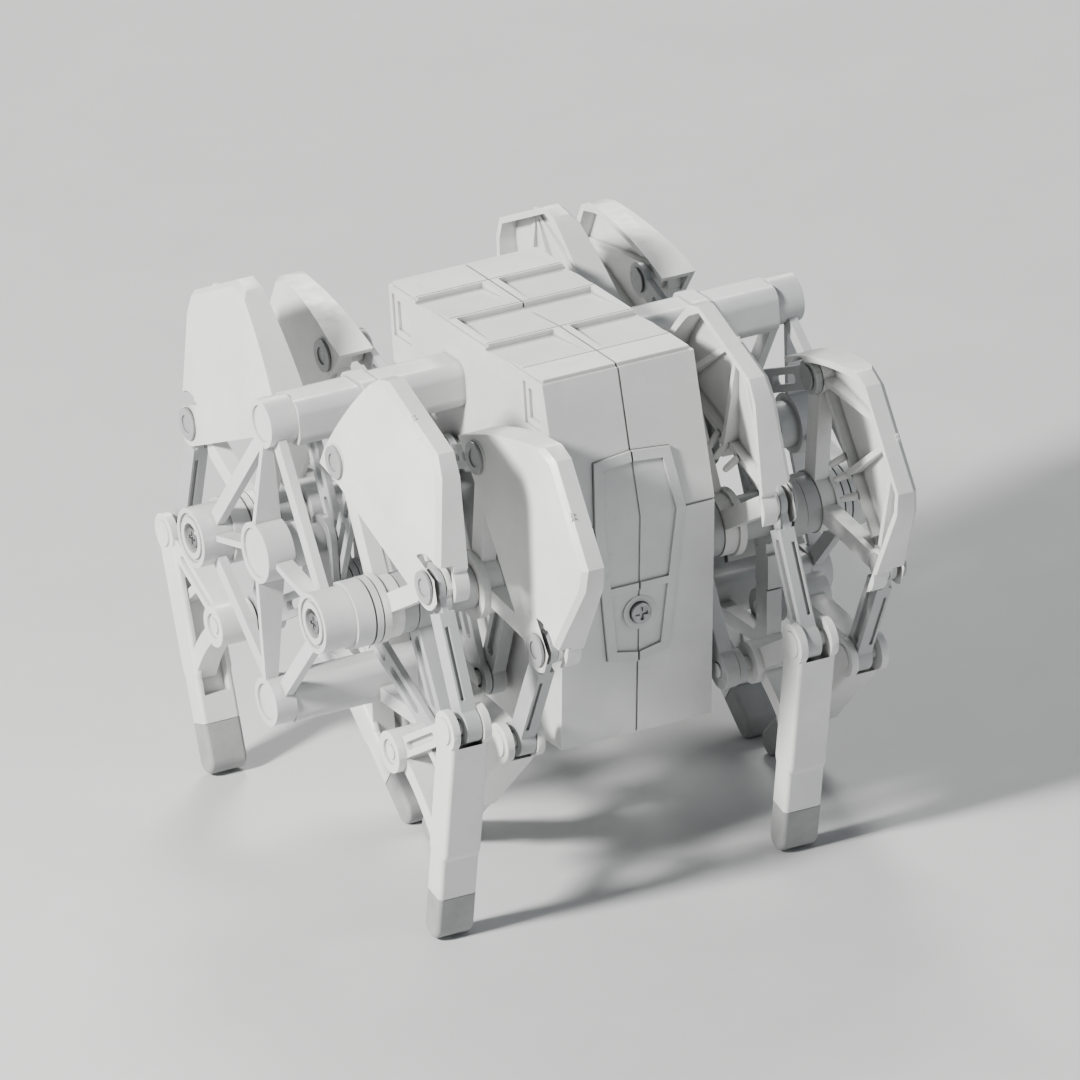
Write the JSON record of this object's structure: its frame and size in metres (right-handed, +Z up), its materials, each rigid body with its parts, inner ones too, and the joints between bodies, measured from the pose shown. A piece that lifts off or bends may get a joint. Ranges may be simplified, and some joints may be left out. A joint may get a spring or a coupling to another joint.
{
  "type": "walking robot toy",
  "caption": "Crank-driven walking robot: a central battery body between two open side frames, with rows of linked legs driven by rods from a crankshaft on each side.",
  "frame": {"origin": "on the ground, under the crank axis, half way between the two leg modules", "axes": "+X across the modules, to the right seen from the battery door; +Y away from the battery door; +Z up"},
  "size_m": [0.1246, 0.1422, 0.1088],
  "materials": {
    "panel_plastic": "moulded satin plastic",
    "body_plastic": "moulded satin plastic",
    "door_plastic": "moulded satin plastic",
    "frame_plastic": "moulded plastic",
    "link_plastic": "moulded low-friction plastic",
    "crank_plastic": "dark low-friction plastic",
    "motor_case": "black moulded case",
    "board": "green circuit board",
    "cell_steel": "nickel plated",
    "screw_steel": "zinc plated, dark",
    "switch_plastic": "black plastic",
    "foot_rubber": "soft moulded foot"
  },
  "bodies": {
    "chassis": {"shell_left": "body_plastic", "shell_right": "body_plastic", "battery_door": "door_plastic", "side_frame_left": "frame_plastic", "side_frame_right": "frame_plastic", "gear_motors": "motor_case", "circuit_board": "board", "batteries": "cell_steel", "screws": "screw_steel"},
    "power_switch": {"power_switch": "switch_plastic"},
    "crankshaft_left": {"crankshaft_left": "crank_plastic"},
    "thigh_left_outer_front": {"thigh_left_outer_front": "panel_plastic"},
    "shin_left_outer_front": {"shin_left_outer_front": "panel_plastic"},
    "front_link_left_outer_front": {"front_link_left_outer_front": "link_plastic"},
    "lower_rocker_left_outer_front": {"lower_rocker_left_outer_front": "link_plastic"},
    "upper_rod_left_outer_front": {"upper_rod_left_outer_front": "link_plastic"},
    "lower_rod_left_outer_front": {"lower_rod_left_outer_front": "link_plastic"},
    "thigh_left_outer_rear": {"thigh_left_outer_rear": "panel_plastic"},
    "shin_left_outer_rear": {"shin_left_outer_rear": "panel_plastic"},
    "front_link_left_outer_rear": {"front_link_left_outer_rear": "link_plastic"},
    "lower_rocker_left_outer_rear": {"lower_rocker_left_outer_rear": "link_plastic"},
    "upper_rod_left_outer_rear": {"upper_rod_left_outer_rear": "link_plastic"},
    "lower_rod_left_outer_rear": {"lower_rod_left_outer_rear": "link_plastic"},
    "thigh_left_inner_front": {"thigh_left_inner_front": "panel_plastic"},
    "shin_left_inner_front": {"shin_left_inner_front": "panel_plastic"},
    "front_link_left_inner_front": {"front_link_left_inner_front": "link_plastic"},
    "lower_rocker_left_inner_front": {"lower_rocker_left_inner_front": "link_plastic"},
    "upper_rod_left_inner_front": {"upper_rod_left_inner_front": "link_plastic"},
    "lower_rod_left_inner_front": {"lower_rod_left_inner_front": "link_plastic"},
    "thigh_left_inner_rear": {"thigh_left_inner_rear": "panel_plastic"},
    "shin_left_inner_rear": {"shin_left_inner_rear": "panel_plastic"},
    "front_link_left_inner_rear": {"front_link_left_inner_rear": "link_plastic"},
    "lower_rocker_left_inner_rear": {"lower_rocker_left_inner_rear": "link_plastic"},
    "upper_rod_left_inner_rear": {"upper_rod_left_inner_rear": "link_plastic"},
    "lower_rod_left_inner_rear": {"lower_rod_left_inner_rear": "link_plastic"},
    "crankshaft_right": {"crankshaft_right": "crank_plastic"},
    "thigh_right_outer_front": {"thigh_right_outer_front": "panel_plastic"},
    "shin_right_outer_front": {"shin_right_outer_front": "panel_plastic"},
    "front_link_right_outer_front": {"front_link_right_outer_front": "link_plastic"},
    "lower_rocker_right_outer_front": {"lower_rocker_right_outer_front": "link_plastic"},
    "upper_rod_right_outer_front": {"upper_rod_right_outer_front": "link_plastic"},
    "lower_rod_right_outer_front": {"lower_rod_right_outer_front": "link_plastic"},
    "thigh_right_outer_rear": {"thigh_right_outer_rear": "panel_plastic"},
    "shin_right_outer_rear": {"shin_right_outer_rear": "panel_plastic"},
    "front_link_right_outer_rear": {"front_link_right_outer_rear": "link_plastic"},
    "lower_rocker_right_outer_rear": {"lower_rocker_right_outer_rear": "link_plastic"},
    "upper_rod_right_outer_rear": {"upper_rod_right_outer_rear": "link_plastic"},
    "lower_rod_right_outer_rear": {"lower_rod_right_outer_rear": "link_plastic"},
    "thigh_right_inner_front": {"thigh_right_inner_front": "panel_plastic"},
    "shin_right_inner_front": {"shin_right_inner_front": "panel_plastic"},
    "front_link_right_inner_front": {"front_link_right_inner_front": "link_plastic"},
    "lower_rocker_right_inner_front": {"lower_rocker_right_inner_front": "link_plastic"},
    "upper_rod_right_inner_front": {"upper_rod_right_inner_front": "link_plastic"},
    "lower_rod_right_inner_front": {"lower_rod_right_inner_front": "link_plastic"},
    "thigh_right_inner_rear": {"thigh_right_inner_rear": "panel_plastic"},
    "shin_right_inner_rear": {"shin_right_inner_rear": "panel_plastic"},
    "front_link_right_inner_rear": {"front_link_right_inner_rear": "link_plastic"},
    "lower_rocker_right_inner_rear": {"lower_rocker_right_inner_rear": "link_plastic"},
    "upper_rod_right_inner_rear": {"upper_rod_right_inner_rear": "link_plastic"},
    "lower_rod_right_inner_rear": {"lower_rod_right_inner_rear": "link_plastic"}
  },
  "joints": [
    {"name": "crank_left", "type": "hinge", "parent": "chassis", "child": "crankshaft_left", "pos_m": [-0.04272, 0, 0.06607], "axis": [1, 0, 0], "range_deg": [-15, 15]},
    {"name": "thigh_pivot_left_outer_front", "type": "hinge", "parent": "chassis", "child": "thigh_left_outer_front", "pos_m": [-0.0474, -0.0266, 0.06061], "axis": [1, 0, 0], "range_deg": [-3.07, 3.07]},
    {"name": "knee_left_outer_front", "type": "hinge", "parent": "thigh_left_outer_front", "child": "front_link_left_outer_front", "pos_m": [-0.0474, -0.05152, 0.07352], "axis": [1, 0, 0], "range_deg": [-11.55, 11.55]},
    {"name": "rocker_pivot_left_outer_front", "type": "hinge", "parent": "chassis", "child": "lower_rocker_left_outer_front", "pos_m": [-0.0474, -0.0266, 0.06061], "axis": [1, 0, 0], "range_deg": [-8.49, 8.49]},
    {"name": "heel_left_outer_front", "type": "hinge", "parent": "lower_rocker_left_outer_front", "child": "shin_left_outer_front", "pos_m": [-0.0474, -0.03858, 0.03585], "axis": [1, 0, 0], "range_deg": [-12.57, 12.57]},
    {"name": "upper_rod_pivot_left_outer_front", "type": "hinge", "parent": "crankshaft_left", "child": "upper_rod_left_outer_front", "pos_m": [-0.0474, 0, 0.05557], "axis": [1, 0, 0], "range_deg": [-12.67, 12.67]},
    {"name": "lower_rod_pivot_left_outer_front", "type": "hinge", "parent": "crankshaft_left", "child": "lower_rod_left_outer_front", "pos_m": [-0.0474, 0, 0.05557], "axis": [1, 0, 0], "range_deg": [-12.42, 12.42]},
    {"name": "thigh_pivot_left_outer_rear", "type": "hinge", "parent": "chassis", "child": "thigh_left_outer_rear", "pos_m": [-0.0474, 0.0266, 0.06061], "axis": [1, 0, 0], "range_deg": [-3.07, 3.07]},
    {"name": "knee_left_outer_rear", "type": "hinge", "parent": "thigh_left_outer_rear", "child": "front_link_left_outer_rear", "pos_m": [-0.0474, 0.05152, 0.07352], "axis": [1, 0, 0], "range_deg": [-11.55, 11.55]},
    {"name": "rocker_pivot_left_outer_rear", "type": "hinge", "parent": "chassis", "child": "lower_rocker_left_outer_rear", "pos_m": [-0.0474, 0.0266, 0.06061], "axis": [1, 0, 0], "range_deg": [-8.49, 8.49]},
    {"name": "heel_left_outer_rear", "type": "hinge", "parent": "lower_rocker_left_outer_rear", "child": "shin_left_outer_rear", "pos_m": [-0.0474, 0.03858, 0.03585], "axis": [1, 0, 0], "range_deg": [-12.57, 12.57]},
    {"name": "upper_rod_pivot_left_outer_rear", "type": "hinge", "parent": "crankshaft_left", "child": "upper_rod_left_outer_rear", "pos_m": [-0.0474, 0, 0.05557], "axis": [1, 0, 0], "range_deg": [-12.67, 12.67]},
    {"name": "lower_rod_pivot_left_outer_rear", "type": "hinge", "parent": "crankshaft_left", "child": "lower_rod_left_outer_rear", "pos_m": [-0.0474, 0, 0.05557], "axis": [1, 0, 0], "range_deg": [-12.42, 12.42]},
    {"name": "thigh_pivot_left_inner_front", "type": "hinge", "parent": "chassis", "child": "thigh_left_inner_front", "pos_m": [-0.02605, -0.0266, 0.06061], "axis": [1, 0, 0], "range_deg": [-6.09, 6.09]},
    {"name": "knee_left_inner_front", "type": "hinge", "parent": "thigh_left_inner_front", "child": "front_link_left_inner_front", "pos_m": [-0.02605, -0.05437, 0.0565], "axis": [1, 0, 0], "range_deg": [-9.06, 9.06]},
    {"name": "rocker_pivot_left_inner_front", "type": "hinge", "parent": "chassis", "child": "lower_rocker_left_inner_front", "pos_m": [-0.02605, -0.0266, 0.06061], "axis": [1, 0, 0], "range_deg": [-2.73, 2.73]},
    {"name": "heel_left_inner_front", "type": "hinge", "parent": "lower_rocker_left_inner_front", "child": "shin_left_inner_front", "pos_m": [-0.02605, -0.0147, 0.03581], "axis": [1, 0, 0], "range_deg": [-9.7, 9.7]},
    {"name": "upper_rod_pivot_left_inner_front", "type": "hinge", "parent": "crankshaft_left", "child": "upper_rod_left_inner_front", "pos_m": [-0.02605, 0, 0.07657], "axis": [1, 0, 0], "range_deg": [-13.92, 13.92]},
    {"name": "lower_rod_pivot_left_inner_front", "type": "hinge", "parent": "crankshaft_left", "child": "lower_rod_left_inner_front", "pos_m": [-0.02605, 0, 0.07657], "axis": [1, 0, 0], "range_deg": [-12.86, 12.86]},
    {"name": "thigh_pivot_left_inner_rear", "type": "hinge", "parent": "chassis", "child": "thigh_left_inner_rear", "pos_m": [-0.02605, 0.0266, 0.06061], "axis": [1, 0, 0], "range_deg": [-6.09, 6.09]},
    {"name": "knee_left_inner_rear", "type": "hinge", "parent": "thigh_left_inner_rear", "child": "front_link_left_inner_rear", "pos_m": [-0.02605, 0.05437, 0.0565], "axis": [1, 0, 0], "range_deg": [-9.06, 9.06]},
    {"name": "rocker_pivot_left_inner_rear", "type": "hinge", "parent": "chassis", "child": "lower_rocker_left_inner_rear", "pos_m": [-0.02605, 0.0266, 0.06061], "axis": [1, 0, 0], "range_deg": [-2.73, 2.73]},
    {"name": "heel_left_inner_rear", "type": "hinge", "parent": "lower_rocker_left_inner_rear", "child": "shin_left_inner_rear", "pos_m": [-0.02605, 0.0147, 0.03581], "axis": [1, 0, 0], "range_deg": [-9.7, 9.7]},
    {"name": "upper_rod_pivot_left_inner_rear", "type": "hinge", "parent": "crankshaft_left", "child": "upper_rod_left_inner_rear", "pos_m": [-0.02605, 0, 0.07657], "axis": [1, 0, 0], "range_deg": [-13.92, 13.92]},
    {"name": "lower_rod_pivot_left_inner_rear", "type": "hinge", "parent": "crankshaft_left", "child": "lower_rod_left_inner_rear", "pos_m": [-0.02605, 0, 0.07657], "axis": [1, 0, 0], "range_deg": [-12.86, 12.86]},
    {"name": "crank_right", "type": "hinge", "parent": "chassis", "child": "crankshaft_right", "pos_m": [0.04272, 0, 0.06607], "axis": [1, 0, 0], "range_deg": [-15, 15]},
    {"name": "thigh_pivot_right_outer_front", "type": "hinge", "parent": "chassis", "child": "thigh_right_outer_front", "pos_m": [0.0474, -0.0266, 0.06061], "axis": [1, 0, 0], "range_deg": [-6.09, 6.09]},
    {"name": "knee_right_outer_front", "type": "hinge", "parent": "thigh_right_outer_front", "child": "front_link_right_outer_front", "pos_m": [0.0474, -0.05437, 0.0565], "axis": [1, 0, 0], "range_deg": [-9.06, 9.06]},
    {"name": "rocker_pivot_right_outer_front", "type": "hinge", "parent": "chassis", "child": "lower_rocker_right_outer_front", "pos_m": [0.0474, -0.0266, 0.06061], "axis": [1, 0, 0], "range_deg": [-2.73, 2.73]},
    {"name": "heel_right_outer_front", "type": "hinge", "parent": "lower_rocker_right_outer_front", "child": "shin_right_outer_front", "pos_m": [0.0474, -0.0147, 0.03581], "axis": [1, 0, 0], "range_deg": [-9.7, 9.7]},
    {"name": "upper_rod_pivot_right_outer_front", "type": "hinge", "parent": "crankshaft_right", "child": "upper_rod_right_outer_front", "pos_m": [0.0474, 0, 0.07657], "axis": [1, 0, 0], "range_deg": [-13.92, 13.92]},
    {"name": "lower_rod_pivot_right_outer_front", "type": "hinge", "parent": "crankshaft_right", "child": "lower_rod_right_outer_front", "pos_m": [0.0474, 0, 0.07657], "axis": [1, 0, 0], "range_deg": [-12.86, 12.86]},
    {"name": "thigh_pivot_right_outer_rear", "type": "hinge", "parent": "chassis", "child": "thigh_right_outer_rear", "pos_m": [0.0474, 0.0266, 0.06061], "axis": [1, 0, 0], "range_deg": [-6.09, 6.09]},
    {"name": "knee_right_outer_rear", "type": "hinge", "parent": "thigh_right_outer_rear", "child": "front_link_right_outer_rear", "pos_m": [0.0474, 0.05437, 0.0565], "axis": [1, 0, 0], "range_deg": [-9.06, 9.06]},
    {"name": "rocker_pivot_right_outer_rear", "type": "hinge", "parent": "chassis", "child": "lower_rocker_right_outer_rear", "pos_m": [0.0474, 0.0266, 0.06061], "axis": [1, 0, 0], "range_deg": [-2.73, 2.73]},
    {"name": "heel_right_outer_rear", "type": "hinge", "parent": "lower_rocker_right_outer_rear", "child": "shin_right_outer_rear", "pos_m": [0.0474, 0.0147, 0.03581], "axis": [1, 0, 0], "range_deg": [-9.7, 9.7]},
    {"name": "upper_rod_pivot_right_outer_rear", "type": "hinge", "parent": "crankshaft_right", "child": "upper_rod_right_outer_rear", "pos_m": [0.0474, 0, 0.07657], "axis": [1, 0, 0], "range_deg": [-13.92, 13.92]},
    {"name": "lower_rod_pivot_right_outer_rear", "type": "hinge", "parent": "crankshaft_right", "child": "lower_rod_right_outer_rear", "pos_m": [0.0474, 0, 0.07657], "axis": [1, 0, 0], "range_deg": [-12.86, 12.86]},
    {"name": "thigh_pivot_right_inner_front", "type": "hinge", "parent": "chassis", "child": "thigh_right_inner_front", "pos_m": [0.02605, -0.0266, 0.06061], "axis": [1, 0, 0], "range_deg": [-3.07, 3.07]},
    {"name": "knee_right_inner_front", "type": "hinge", "parent": "thigh_right_inner_front", "child": "front_link_right_inner_front", "pos_m": [0.02605, -0.05152, 0.07352], "axis": [1, 0, 0], "range_deg": [-11.55, 11.55]},
    {"name": "rocker_pivot_right_inner_front", "type": "hinge", "parent": "chassis", "child": "lower_rocker_right_inner_front", "pos_m": [0.02605, -0.0266, 0.06061], "axis": [1, 0, 0], "range_deg": [-8.49, 8.49]},
    {"name": "heel_right_inner_front", "type": "hinge", "parent": "lower_rocker_right_inner_front", "child": "shin_right_inner_front", "pos_m": [0.02605, -0.03858, 0.03585], "axis": [1, 0, 0], "range_deg": [-12.57, 12.57]},
    {"name": "upper_rod_pivot_right_inner_front", "type": "hinge", "parent": "crankshaft_right", "child": "upper_rod_right_inner_front", "pos_m": [0.02605, 0, 0.05557], "axis": [1, 0, 0], "range_deg": [-12.67, 12.67]},
    {"name": "lower_rod_pivot_right_inner_front", "type": "hinge", "parent": "crankshaft_right", "child": "lower_rod_right_inner_front", "pos_m": [0.02605, 0, 0.05557], "axis": [1, 0, 0], "range_deg": [-12.42, 12.42]},
    {"name": "thigh_pivot_right_inner_rear", "type": "hinge", "parent": "chassis", "child": "thigh_right_inner_rear", "pos_m": [0.02605, 0.0266, 0.06061], "axis": [1, 0, 0], "range_deg": [-3.07, 3.07]},
    {"name": "knee_right_inner_rear", "type": "hinge", "parent": "thigh_right_inner_rear", "child": "front_link_right_inner_rear", "pos_m": [0.02605, 0.05152, 0.07352], "axis": [1, 0, 0], "range_deg": [-11.55, 11.55]},
    {"name": "rocker_pivot_right_inner_rear", "type": "hinge", "parent": "chassis", "child": "lower_rocker_right_inner_rear", "pos_m": [0.02605, 0.0266, 0.06061], "axis": [1, 0, 0], "range_deg": [-8.49, 8.49]},
    {"name": "heel_right_inner_rear", "type": "hinge", "parent": "lower_rocker_right_inner_rear", "child": "shin_right_inner_rear", "pos_m": [0.02605, 0.03858, 0.03585], "axis": [1, 0, 0], "range_deg": [-12.57, 12.57]},
    {"name": "upper_rod_pivot_right_inner_rear", "type": "hinge", "parent": "crankshaft_right", "child": "upper_rod_right_inner_rear", "pos_m": [0.02605, 0, 0.05557], "axis": [1, 0, 0], "range_deg": [-12.67, 12.67]},
    {"name": "lower_rod_pivot_right_inner_rear", "type": "hinge", "parent": "crankshaft_right", "child": "lower_rod_right_inner_rear", "pos_m": [0.02605, 0, 0.05557], "axis": [1, 0, 0], "range_deg": [-12.42, 12.42]},
    {"name": "switch_slide", "type": "slide", "parent": "chassis", "child": "power_switch", "axis": [0, 1, 0], "range_m": [0, 0.003]}
  ],
  "couplings": [
    {"joint": "thigh_pivot_left_outer_front", "follows": "crank_left", "ratio": -0.20114},
    {"joint": "knee_left_outer_front", "follows": "crank_left", "ratio": 0.76687},
    {"joint": "rocker_pivot_left_outer_front", "follows": "crank_left", "ratio": 0.56274},
    {"joint": "heel_left_outer_front", "follows": "crank_left", "ratio": -0.83447},
    {"joint": "upper_rod_pivot_left_outer_front", "follows": "crank_left", "ratio": -0.84128},
    {"joint": "lower_rod_pivot_left_outer_front", "follows": "crank_left", "ratio": -0.82487},
    {"joint": "thigh_pivot_left_outer_rear", "follows": "crank_left", "ratio": -0.20114},
    {"joint": "knee_left_outer_rear", "follows": "crank_left", "ratio": 0.76687},
    {"joint": "rocker_pivot_left_outer_rear", "follows": "crank_left", "ratio": 0.56274},
    {"joint": "heel_left_outer_rear", "follows": "crank_left", "ratio": -0.83447},
    {"joint": "upper_rod_pivot_left_outer_rear", "follows": "crank_left", "ratio": -0.84128},
    {"joint": "lower_rod_pivot_left_outer_rear", "follows": "crank_left", "ratio": -0.82487},
    {"joint": "thigh_pivot_left_inner_front", "follows": "crank_left", "ratio": 0.40247},
    {"joint": "knee_left_inner_front", "follows": "crank_left", "ratio": -0.60084},
    {"joint": "rocker_pivot_left_inner_front", "follows": "crank_left", "ratio": -0.17847},
    {"joint": "heel_left_inner_front", "follows": "crank_left", "ratio": 0.64298},
    {"joint": "upper_rod_pivot_left_inner_front", "follows": "crank_left", "ratio": -0.92447},
    {"joint": "lower_rod_pivot_left_inner_front", "follows": "crank_left", "ratio": -0.85373},
    {"joint": "thigh_pivot_left_inner_rear", "follows": "crank_left", "ratio": 0.40247},
    {"joint": "knee_left_inner_rear", "follows": "crank_left", "ratio": -0.60084},
    {"joint": "rocker_pivot_left_inner_rear", "follows": "crank_left", "ratio": -0.17847},
    {"joint": "heel_left_inner_rear", "follows": "crank_left", "ratio": 0.64298},
    {"joint": "upper_rod_pivot_left_inner_rear", "follows": "crank_left", "ratio": -0.92447},
    {"joint": "lower_rod_pivot_left_inner_rear", "follows": "crank_left", "ratio": -0.85373},
    {"joint": "thigh_pivot_right_outer_front", "follows": "crank_right", "ratio": 0.40247},
    {"joint": "knee_right_outer_front", "follows": "crank_right", "ratio": -0.60084},
    {"joint": "rocker_pivot_right_outer_front", "follows": "crank_right", "ratio": -0.17847},
    {"joint": "heel_right_outer_front", "follows": "crank_right", "ratio": 0.64298},
    {"joint": "upper_rod_pivot_right_outer_front", "follows": "crank_right", "ratio": -0.92447},
    {"joint": "lower_rod_pivot_right_outer_front", "follows": "crank_right", "ratio": -0.85373},
    {"joint": "thigh_pivot_right_outer_rear", "follows": "crank_right", "ratio": 0.40247},
    {"joint": "knee_right_outer_rear", "follows": "crank_right", "ratio": -0.60084},
    {"joint": "rocker_pivot_right_outer_rear", "follows": "crank_right", "ratio": -0.17847},
    {"joint": "heel_right_outer_rear", "follows": "crank_right", "ratio": 0.64298},
    {"joint": "upper_rod_pivot_right_outer_rear", "follows": "crank_right", "ratio": -0.92447},
    {"joint": "lower_rod_pivot_right_outer_rear", "follows": "crank_right", "ratio": -0.85373},
    {"joint": "thigh_pivot_right_inner_front", "follows": "crank_right", "ratio": -0.20114},
    {"joint": "knee_right_inner_front", "follows": "crank_right", "ratio": 0.76687},
    {"joint": "rocker_pivot_right_inner_front", "follows": "crank_right", "ratio": 0.56274},
    {"joint": "heel_right_inner_front", "follows": "crank_right", "ratio": -0.83447},
    {"joint": "upper_rod_pivot_right_inner_front", "follows": "crank_right", "ratio": -0.84128},
    {"joint": "lower_rod_pivot_right_inner_front", "follows": "crank_right", "ratio": -0.82487},
    {"joint": "thigh_pivot_right_inner_rear", "follows": "crank_right", "ratio": -0.20114},
    {"joint": "knee_right_inner_rear", "follows": "crank_right", "ratio": 0.76687},
    {"joint": "rocker_pivot_right_inner_rear", "follows": "crank_right", "ratio": 0.56274},
    {"joint": "heel_right_inner_rear", "follows": "crank_right", "ratio": -0.83447},
    {"joint": "upper_rod_pivot_right_inner_rear", "follows": "crank_right", "ratio": -0.84128},
    {"joint": "lower_rod_pivot_right_inner_rear", "follows": "crank_right", "ratio": -0.82487}
  ]
}
